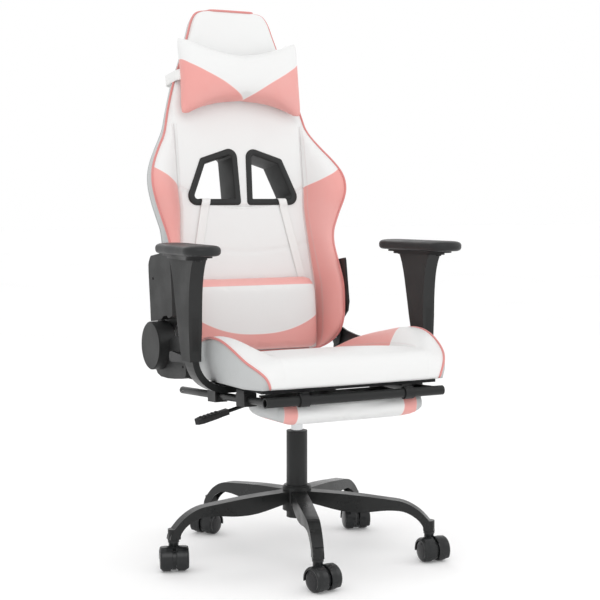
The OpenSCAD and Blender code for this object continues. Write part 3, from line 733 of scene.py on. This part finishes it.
wv = np.interp(sx, Si, Wi)
xsv = seam_x(sx, wv)
# pink below the shoulder line, only outside the seam and on the front face
line_s = np.interp(ax, [0.150, 0.163, 0.19, 0.22, 0.246, 0.26], [0.372, 0.385, 0.397, 0.412, 0.428, 0.434])
mask = np.minimum(line_s - sx, ax - xsv)
is_front = np.zeros(len(V)); is_front[:nf] = 1
mask = np.where(is_front > 0, mask, -0.01)
seam_d = np.where((sx < 0.53), ax - xsv, 0.05)
cross = np.abs(sx - (0.338 + 0.046 * (ax / 0.163) ** 2))
seam_d = np.where(ax < xsv, np.minimum(np.abs(seam_d), cross), np.abs(seam_d))
seam_d = np.where(is_front > 0, seam_d, 0.05)
fm = np.zeros(len(faces), int)
fm[n_main:] = 1
for q, f in enumerate(faces[:n_main]):
    if min(f) >= off_b:
        fm[q] = 2
M_BACKF = leather("cover_back_front", WHITE, "pink", PINK, seam="seam", dashes="along")
# the backrest side strips and rear welt take this material: the white cover darkened with painted shade
M_SIDE = leather("cover_side", GREYW)
M_REAR = leather("cover_rear", (0.74, 0.74, 0.735, 1), seam="seam", dashes="along")
rear_seam = np.minimum(np.abs(ax - 0.150 * np.clip(wv / 0.2, 0, 1)), np.abs(sx - 0.33 - 0.04 * (ax / 0.163) ** 2))
seam_all = np.where((np.arange(len(V)) >= nf) & (np.arange(len(V)) < 2 * nf), rear_seam, seam_d)
cover = new_obj("backrest_cover", row(V), faces, [M_BACKF, M_SIDE, M_REAR], "backrest", "cover_white", {"pink": mask, "seam": seam_all, "along": sx + ax * 0.35}, fm)
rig.replaces(cover, "backrest_cushion")
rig.padded(cover, fill=0.9)
# piping round the front edge and a thin welt round the rear edge
pf = lf.copy()
pf[:, 1] -= 0.0004
pf += outn * 0.0006
tube("backrest_piping", row(resample(np.vstack([pf, pf[:1]]), step=0.005)[:-1]), 0.0027, [M_PIPE], "backrest", "cover_pink", closed=True)
tube("backrest_rear_welt", row(resample(np.vstack([lb, lb[:1]]), step=0.006)[:-1]), 0.0018, [M_SIDE], "backrest", "cover_white", closed=True)

# ---------------------------------------------------------------- cut-out rings
prof = [(0.0, 0.004, 0), (0.0, -0.0030, 0), (0.0006, -0.0048, 0), (0.0022, -0.0062, 0), (0.0075, -0.0068, 1), (0.0125, -0.0062, 1), (0.0145, -0.0046, 1), (0.0150, -0.0020, 1), (0.0162, 0.035, 1), (0.0158, 0.066, 1), (0.0146, 0.0716, 1), (0.0110, 0.0732, 1), (0.0030, 0.0732, 0), (0.0006, 0.0722, 0), (0.0, 0.0690, 0), (0.003, 0.060, 0), (0.003, 0.012, 0)]
rad_out = np.array([0.009, 0.021, 0.009, 0.021])
rv, rf = [], []
for side in (1, -1):
    b0 = len(rv)
    loops = []
    for d, y, _ in prof:
        p2 = fillet(inset(cut, d), np.maximum(rad_out - d * 0.9, 0.0022))
        loops.append([(side * q[0], y, q[1]) for q in p2])
    m = len(loops[0])
    for L in loops:
        rv.extend(L)
    for a in range(len(loops)):
        b = (a + 1) % len(loops)
        for k in range(m):
            l = (k + 1) % m
            rf.append((b0 + a * m + k, b0 + a * m + l, b0 + b * m + l, b0 + b * m + k))
rings = new_obj("cutout_rings", row(rv), rf, [M_RING], "backrest", "plastic_black")
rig.replaces(rings, "cutout_bezels")

# ---------------------------------------------------------------- straps to the lumbar pillow
tn = math.tan(math.radians(12.3))
strap_path = [(0.3585, 0.030), (0.3580, 0.012), (0.3572, 0.001), (0.3560, -0.0052), (0.3535, -0.0078), (0.3480, -0.0086), (0.3420, -0.0079), (0.3380, -0.0058), (0.3300, -0.0048), (0.3150, -0.0046), (0.2, -0.0046), (0.17, -0.0040), (0.150, -0.0016), (0.1, -0.0012), (0.063, -0.0012)]
sp = resample(catmull(np.array(strap_path), 5), step=0.004)
sv2, sf2 = [], []
wd = 0.0105
for side in (1, -1):
    b0 = len(sv2)
    cs = [(-1, 0.6), (-1, -0.2), (-0.93, -1), (-0.8, -0.75), (-0.6, -0.7), (0.6, -0.7), (0.8, -0.75), (0.93, -1), (1, -0.2), (1, 0.6), (0.5, 1), (-0.5, 1)]
    for s, y in sp:
        cx = 0.098 + (0.355 - min(s, 0.357)) * tn
        for a, h in cs:
            sv2.append((side * (cx + a * wd), y - 0.0004 + h * 0.0011, s - side * 0 + a * wd * 0.0))
    m = len(cs)
    for i in range(len(sp) - 1):
        for k in range(m):
            l = (k + 1) % m
            sf2.append((b0 + i * m + k, b0 + i * m + l, b0 + (i + 1) * m + l, b0 + (i + 1) * m + k))
    sf2.append(tuple(b0 + k for k in range(m)))
    sf2.append(tuple(b0 + (len(sp) - 1) * m + k for k in range(m)))
straps = new_obj("lumbar_webbing", row(sv2), sf2, [M_STRAP], "backrest", "cover_white")
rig.replaces(straps, "lumbar_straps")

# ---------------------------------------------------------------- head pillow
HO = np.array([[0, 578], [60, 572], [110, 559], [140, 548], [158, 546]]) / 1000.0
HT = np.array([[0, 692], [50, 698], [105, 712], [132, 722], [158, 726]]) / 1000.0
hb, ht = catmull(HO, 8), catmull(HT, 8)
nu, nv = 60, 34
pv, pfaces = [], []
def hp(u, v, sgn):
    ua, va = abs(u), abs(v)
    k = 1 - 0.018 * (ua ** 6) * (va ** 6)
    x = u * k * (0.1535 + 0.005 * va ** 2.2)
    s0, s1 = np.interp(abs(x), hb[:, 0], hb[:, 1]), np.interp(abs(x), ht[:, 0], ht[:, 1])
    s = (s0 + s1) / 2 + v * k * (s1 - s0) / 2
    f = max(0.0, (1 - ua ** 3.2)) ** 0.52 * max(0.0, (1 - va ** 2.4)) ** 0.55
    seam_y = -0.022
    y = seam_y - 0.042 * f if sgn < 0 else min(-0.0034, seam_y + 0.026 * min(1.0, f * 1.25))
    return (x, y, s)
us, vs = np.sin(np.linspace(-1, 1, nu + 1) * math.pi / 2), np.sin(np.linspace(-1, 1, nv + 1) * math.pi / 2)
fi = {}
for sgn in (-1, 1):
    for i in range(nv + 1):
        for j in range(nu + 1):
            if sgn == 1 and (i in (0, nv) or j in (0, nu)):
                fi[sgn, i, j] = fi[-1, i, j]
                continue
            fi[sgn, i, j] = len(pv)
            pv.append(hp(us[j], vs[i], sgn))
for sgn in (-1, 1):
    for i in range(nv):
        for j in range(nu):
            q = (fi[sgn, i, j], fi[sgn, i, j + 1], fi[sgn, i + 1, j + 1], fi[sgn, i + 1, j])
            pfaces.append(q if sgn < 0 else q[::-1])
M_HEAD = leather("cover_head_pillow", PINK, "white", WHITE)
head = new_obj("head_pillow_cover", row(pv), pfaces, [M_HEAD], None, "cover_white")
puff(head, 0.0045, 3.0, 0.004, 16, 1)
v = verts_of(head)
b = to_back(v)
b[:, 1] = np.clip(b[:, 1], -0.0692, -0.0030)
move_verts(head, row(b))
# the white V over the lower pink corners
def vline(ax):
    return np.interp(ax, [0, 0.02, 0.06, 0.10, 0.135, 0.16], [0.583, 0.594, 0.618, 0.640, 0.661, 0.680])
d = (b[:, 2] - vline(np.abs(b[:, 0]))) * 0.87
set_attr(head, "white", d)
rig.replaces(head, "head_pillow")
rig.ride(head, "head")
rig.padded(head, fill=0.95)
# its elastic strap round the back
hs, hf = [], []
outl = []
w_at = float(np.interp(0.628, Si, Wi)) + 0.0014
xo, y0, y1 = w_at, -0.030, 0.0795
pts = [(-0.140, -0.022), (-0.150, -0.018), (-xo - 0.001, -0.004), (-xo - 0.001, 0.02), (-xo - 0.0005, 0.052), (-xo + 0.010, 0.068), (-xo + 0.03, 0.0755), (-0.08, 0.078), (0, 0.0785), (0.08, 0.078), (xo - 0.03, 0.0755), (xo - 0.010, 0.068), (xo + 0.0005, 0.052), (xo + 0.001, 0.02), (xo + 0.001, -0.004), (0.150, -0.018), (0.140, -0.022)]
pp = resample(catmull(np.array(pts), 6), step=0.004)
tt = np.gradient(pp, axis=0)
tt /= np.linalg.norm(tt, axis=1)[:, None]
nn = np.stack([tt[:, 1], -tt[:, 0]], 1)
cs = [(-0.012, 0.0), (-0.0115, 0.0007), (0.0115, 0.0007), (0.012, 0.0), (0.0115, -0.0007), (-0.0115, -0.0007)]
for p, n2 in zip(pp, nn):
    for h, t_ in cs:
        hs.append((p[0] + n2[0] * t_, p[1] + n2[1] * t_, 0.640 + h))
m = len(cs)
for i in range(len(pp) - 1):
    for k in range(m):
        l = (k + 1) % m
        hf.append((i * m + k, i * m + l, (i + 1) * m + l, (i + 1) * m + k))
hf.append(tuple(range(m)))
hf.append(tuple((len(pp) - 1) * m + k for k in range(m)))
hstrap = new_obj("head_pillow_elastic", row(hs), hf, [M_STRAP], "head", "cover_white")
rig.replaces(hstrap, "head_strap")

# ---------------------------------------------------------------- lumbar pillow
lp = np.array([[-0.0036, 0.004], [-0.010, 0.000], [-0.024, 0.003], [-0.031, 0.014], [-0.036, 0.040], [-0.040, 0.080], [-0.041, 0.120], [-0.040, 0.142], [-0.036, 0.153], [-0.022, 0.166], [-0.012, 0.1725], [-0.0036, 0.173]])
lpc = resample(catmull(lp, 6), count=44)
lpc = np.vstack([lpc, resample(np.array([[-0.0036, 0.173], [-0.0036, 0.004]]), count=22)[1:-1]])
cen = np.array([-0.020, 0.086])
xs_l = 0.158 * np.sin(np.linspace(-1, 1, 61) * math.pi / 2)
lv, lfc = [], []
for x in xs_l:
    u = abs(x) / 0.158
    k = (1 - u ** 14) ** 0.45 * 0.10 + 0.90 - 0.02 * u ** 3
    ky = (1 - u ** 7) ** 0.5 * 0.42 + 0.58
    for q in lpc:
        yy = -0.0036 + (q[0] + 0.0036) * ky
        ss = cen[1] + (q[1] - cen[1]) * k
        lv.append((x, yy, ss))
m = len(lpc)
for i in range(len(xs_l) - 1):
    for k in range(m):
        l = (k + 1) % m
        lfc.append((i * m + k, i * m + l, (i + 1) * m + l, (i + 1) * m + k))
lfc.append(tuple(range(m)))
lfc.append(tuple((len(xs_l) - 1) * m + k for k in range(m)))
M_LUM = leather("cover_lumbar", WHITE, "pink", PINK, third=("gusset", PINK_L))
lum = new_obj("lumbar_pillow_cover", row(lv), lfc, [M_LUM], None, "cover_white")
puff(lum, 0.0045, 3.0, 0.004, 16, 1)
b = to_back(verts_of(lum))
b[:, 1] = np.clip(b[:, 1], -0.0475, -0.0032)
b[:, 0] = np.clip(b[:, 0], -0.1645, 0.1645)
move_verts(lum, row(b))
z_low = 0.038 + 0.044 * np.clip(np.abs(b[:, 0]) / 0.16, 0, 1) ** 2.4
set_attr(lum, "pink", z_low - b[:, 2])
set_attr(lum, "gusset", np.minimum(b[:, 2] - 0.1505, 0.01))
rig.replaces(lum, "lumbar_pillow")
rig.ride(lum, "lumbar")
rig.padded(lum, fill=0.9)

# ---------------------------------------------------------------- seat
cp = np.array([[-256, 405.5], [-262.5, 409], [-265.2, 418], [-266, 432], [-262.5, 450], [-252, 462], [-236, 467.5], [-210, 468.5], [-150, 466], [-50, 456], [50, 441], [120, 431], [164, 425], [171, 417], [172, 408]]) / 1000.0
wp = np.array([[196, -254, 406], [198.5, -259.5, 409], [200, -261, 414], [203, -260.5, 422], [208, -258, 431], [215, -251, 439.5], [224, -238, 449], [232, -222, 458], [238, -200, 470], [243, -165, 485.5], [245, -130, 495], [245.5, -93, 497.5], [243.5, -60, 493.5], [237, -20, 485], [225, 30, 473.5], [214, 80, 458.5], [208, 122, 439], [206, 140, 425], [206, 143, 410]]) / 1000.0
NP = 120
cpd = catmull(cp, 12)
wpd = catmull(wp, 12)
# match the two paths by how far back they run
def param(y, z):
    d = np.r_[0, np.cumsum(np.hypot(np.diff(y), np.diff(z)))]
    return d / d[-1]
ta, tw = param(cpd[:, 0], cpd[:, 1]), param(wpd[:, 1], wpd[:, 2])
tt = np.r_[np.linspace(0, 0.16, 34), np.linspace(0.16, 0.9, 72)[1:], np.linspace(0.9, 1, 18)[1:]]
C = np.stack([np.interp(tt, ta, cpd[:, k]) for k in (0, 1)], 1)
Wp = np.stack([np.interp(tt, tw, wpd[:, k]) for k in (0, 1, 2)], 1)
sc = np.r_[np.linspace(0, 0.88, 24), [0.92, 0.95, 0.97, 0.985, 1.0]]
sb = np.r_[[0.04, 0.09, 0.15, 0.22], np.linspace(0.3, 0.9, 9), [0.94, 0.97, 0.985, 1.0]]
G = []
SEAMX = 0.170
for i in range(len(tt)):
    cy, cz = C[i]
    wx, wy, wz = Wp[i]
    rise = np.clip((tt[i] - 0.14) / 0.12, 0, 1)
    rise = rise * rise * (3 - 2 * rise)
    back = np.clip((1 - tt[i]) / 0.05, 0, 1)
    sx_i = min(SEAMX, wx - 0.004)
    rowp = []
    for t in sc:
        x = t * sx_i
        crown = 0.004 * (1 - t ** 4) * rise * back
        dip = -0.0032 * math.exp(-(((t - 1) * sx_i) / 0.004) ** 2) * rise
        rowp.append((x, cy - 0.002 * (1 - t * t) * (1 - rise), cz + crown + dip))
    for t in sb:
        x = sx_i + (wx - sx_i) * t
        g = (1 - (1 - t) ** 2.0)
        gz = g * rise + t * (1 - rise)
        y = cy + (wy - cy) * t
        z = cz + (wz - cz) * gz + 0.007 * math.sin(math.pi * t) * rise * back
        dip = -0.0032 * math.exp(-((x - sx_i) / 0.004) ** 2) * rise
        rowp.append((x, y, z + dip))
    h = np.array(rowp)
    mir = h[1:][::-1].copy()
    mir[:, 0] *= -1
    G.append(np.vstack([mir, h]))
G = np.array(G)
nr, nc = G.shape[:2]
# side walls from the ridge down to the pan, and the flat underside
low = []
for i in range(nr):
    wx, wy, wz = Wp[i]
    low.append((min(wx, 0.236) - 0.002, np.clip(wy, -0.252, 0.142), 0.4052))
low = np.array(low)
walls = {}
nk = 9
seat_v = [G.reshape(-1, 3)]
cnt = nr * nc
for sg, col in ((-1, 0), (1, nc - 1)):
    for k in range(1, nk + 1):
        f = k / nk
        p = G[:, col] * (1 - f) + (low * [sg, 1, 1]) * f
        span = np.abs(G[:, col, 2] - 0.4052)
        p[:, 0] += sg * 0.010 * np.sin(math.pi * min(1, f * 1.0)) * np.clip(span / 0.06, 0, 1) * (0.9 - 0.5 * f)
        walls[sg, k] = [cnt + m for m in range(nr)]
        seat_v.append(p)
        cnt += nr
    walls[sg, 0] = [i * nc + col for i in range(nr)]
sfa, sfm = [], []
for i in range(nr - 1):
    for j in range(nc - 1):
        sfa.append((i * nc + j, i * nc + j + 1, (i + 1) * nc + j + 1, (i + 1) * nc + j))
        sfm.append(0)
for sg in (-1, 1):
    for k in range(nk):
        a, bb = walls[sg, k], walls[sg, k + 1]
        for m in range(nr - 1):
            sfa.append((a[m], a[m + 1], bb[m + 1], bb[m]))
            sfm.append(1)
# underside
L, Rr = walls[-1, nk], walls[1, nk]
for m in range(nr - 1):
    sfa.append((L[m], L[m + 1], Rr[m + 1], Rr[m]))
    sfm.append(1)
front_loop = list(range(0, nc)) + [walls[1, k][0] for k in range(1, nk + 1)] + [walls[-1, k][0] for k in range(nk, 0, -1)]
sfa.append(tuple(front_loop)); sfm.append(1)
last = (nr - 1) * nc
back_loop = [last + j for j in range(nc)] + [walls[1, k][nr - 1] for k in range(1, nk + 1)] + [walls[-1, k][nr - 1] for k in range(nk, 0, -1)]
sfa.append(tuple(back_loop)); sfm.append(1)
SV = np.vstack(seat_v)
axs = np.abs(SV[:, 0])
wing_line = np.interp(axs, [0.165, 0.172, 0.20, 0.225, 0.246], [-0.112, -0.106, -0.086, -0.070, -0.058])
smask = np.minimum(SV[:, 1] - wing_line, axs - 0.1705)
smask[nr * nc:] = -0.01
sseam = np.abs(axs - 0.1705) + np.clip(-0.205 - SV[:, 1], 0, 1) * 2
sseam[nr * nc:] = 0.05
cross = np.abs(SV[:, 1] - (0.055 + 0.0 * axs)) + 0.0
sseam = np.where((axs < 0.17), np.minimum(sseam, cross + np.where(SV[:, 2] > 0.43, 0, 0.05)), sseam)
M_SEAT = leather("cover_seat", WHITE, "pink", PINK, seam="seam", dashes="along")
# the seat's side walls, underside, front and back faces take the second material: the white cover darkened with
# painted shade
seat = new_obj("seat_cover", SV, sfa, [M_SEAT, M_SIDE], "seat", "cover_white", {"pink": smask, "seam": sseam, "along": SV[:, 1] + axs * 0.4}, sfm)
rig.replaces(seat, "seat_cushion", "seat_wings")
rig.padded(seat, fill=0.95)
for sg, nm in ((-1, "right"), (1, "left")):
    p = G[:, 0 if sg < 0 else nc - 1].copy()
    p = p[2:-2]
    p[:, 0] += sg * 0.0006
    p[:, 2] += 0.0004
    tube("seat_piping_" + nm, resample(p, step=0.005), 0.0026, [M_PIPE], "seat", "cover_pink")

# ---------------------------------------------------------------- footrest pad
src = frame["nodes"]["footrest_pad"]
foot = src.copy()
foot.data = src.data.copy()
foot.name = "footrest_pad_cover"
foot.parent = None
foot.matrix_world = Matrix.Identity(4)
scene.collection.objects.link(foot) if foot.name not in scene.collection.objects else None
foot.hide_render = False
foot.hide_set(False) if foot.name in bpy.context.view_layer.objects else None
for k in list(foot.keys()):
    del foot[k]
c0 = np.array([0, -0.170, 0.352])
vv = verts_of(foot)
vv = c0 + (vv - c0) * np.array([0.995, 0.99, 0.985])
move_verts(foot, vv)
puff(foot, 0.0045, 3.0, 0.005, 16, 1)
vv = verts_of(foot)
vv[:, 2] = np.minimum(vv[:, 2], 0.3720)
vv[:, 0] = np.clip(vv[:, 0], -0.176, 0.176)
move_verts(foot, vv)
# the footrest's outer ends take the darker tone, which is painted shade on the white cover
M_FOOT = leather("cover_footrest", WHITE, "pink", PINK, third=("grey", GREYW))
foot.data.materials.clear()
foot.data.materials.append(M_FOOT)
for s in foot.material_slots:
    s.link = "DATA"
af = np.abs(vv[:, 0])
left = vv[:, 0] < 0
set_attr(foot, "pink", np.minimum(af - 0.126, 0.157 - af))
# mask for the painted shade on the footrest's outer ends
set_attr(foot, "grey", af - 0.157)
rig.slot(foot, "cover_white")
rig.ride(foot, "footrest_flap")
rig.replaces(foot, "footrest_pad")
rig.padded(foot, fill=0.8)


# ---------------------------------------------------------------- armrest pads
def rrect_pts(w, l, r, n=14):
    out = []
    for cx, cy, a0 in ((w / 2 - r, l / 2 - r, 0), (-(w / 2 - r), l / 2 - r, 90), (-(w / 2 - r), -(l / 2 - r), 180), (w / 2 - r, -(l / 2 - r), 270)):
        for k in range(n):
            a = math.radians(a0 + 90 * k / (n - 1))
            out.append((cx + r * math.cos(a), cy + r * math.sin(a)))
    return np.array(out)


pad_loops = [(0.014, 0.6672), (0.0085, 0.6674), (0.0045, 0.6686), (0.0018, 0.6708), (0.0004, 0.6735), (0.0, 0.6790), (0.0006, 0.6818), (0.0022, 0.6845), (0.0048, 0.6865), (0.0085, 0.6878), (0.013, 0.6886), (0.018, 0.6890), (0.024, 0.6893), (0.030, 0.6894), (0.036, 0.6895)]
M_PAD = coated("armrest_polyurethane", (0.014, 0.0145, 0.015, 1), (0.40, 0.50), 500.0, 0.00035, 0.15)
for sg, nm in ((-1, "right"), (1, "left")):
    av, af2 = [], []
    a = math.radians(sg * 5.0)
    for ins, z in pad_loops:
        w, l = 0.080 - 2 * ins, 0.246 - 2 * ins
        for x, y in rrect_pts(w, l, max(0.003, 0.0385 - ins * 1.0)):
            av.append((sg * 0.283 + x * math.cos(a) - y * math.sin(a), -0.052 + x * math.sin(a) + y * math.cos(a), z))
    m = len(rrect_pts(1, 2, 0.1))
    for i in range(len(pad_loops) - 1):
        for k in range(m):
            l = (k + 1) % m
            af2.append((i * m + k, i * m + l, (i + 1) * m + l, (i + 1) * m + k))
    af2.append(tuple(range(m)))
    af2.append(tuple((len(pad_loops) - 1) * m + k for k in range(m)))
    pad = new_obj("armrest_pad_" + nm, av, af2, [M_PAD], "seat", "pad_grey")
    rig.padded(pad, fill=1.0)
    pads = globals().setdefault("PADS", [])
    pads.append(pad)
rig.replaces(PADS[0], "armrest_pads")

# ---------------------------------------------------------------- floor, light, camera
def plane(name, size, z, mat):
    me = bpy.data.meshes.new(name)
    me.from_pydata([(-size, -size, z), (size, -size, z), (size, size, z), (-size, size, z)], [], [(0, 1, 2, 3)])
    o = bpy.data.objects.new(name, me)
    scene.collection.objects.link(o)
    me.materials.append(mat)
    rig.stage(o)
    return o


k = Net("floor_paint")
k.set(Base_Color=k.mix(k.ramp(k.noise(1.5), 0.3, 0.7), (0.86, 0.86, 0.86, 1), (0.89, 0.89, 0.89, 1)), Roughness=0.85, Emission_Color=(1.0, 1.0, 1.0, 1), Emission_Strength=0.12)
plane("floor", 30.0, 0.0, k.mat)
world = bpy.data.worlds.new("studio")
scene.world = world
world.use_nodes = True
world.node_tree.nodes["Background"].inputs[0].default_value = (1.0, 1.0, 1.0, 1)
world.node_tree.nodes["Background"].inputs[1].default_value = 1.0


def area(name, loc, target, size, energy):
    l = bpy.data.lights.new(name, "AREA")
    l.shape = "RECTANGLE"
    l.size, l.size_y = size
    l.energy = energy
    o = bpy.data.objects.new(name, l)
    o.location = loc
    d = Vector(target) - Vector(loc)
    o.rotation_euler = d.to_track_quat("-Z", "Y").to_euler()
    scene.collection.objects.link(o)


area("key", (-1.2, -2.6, 3.0), (0, 0, 0.6), (2.2, 2.2), 24)
area("fill", (2.8, -1.4, 1.8), (0, 0, 0.6), (1.8, 1.8), 9)
area("rim", (0.6, 2.8, 2.4), (0, 0, 0.7), (2.0, 1.2), 12)

cam = bpy.data.cameras.new("camera")
cam.lens, cam.sensor_width = 85.34, 36.0
cam.clip_end = 100
co = bpy.data.objects.new("camera", cam)
co.location = (-1.46614, -2.72299, 0.78561)
co.rotation_euler = (math.radians(90 - 4.151), 0, math.radians(-28.426))
scene.collection.objects.link(co)
scene.camera = co

bpy.context.view_layer.update()
vis = [list(map(float, c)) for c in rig.bounds()]
with open("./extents.json", "w") as f:
    json.dump({"cad": cad_box, "visual": vis}, f)
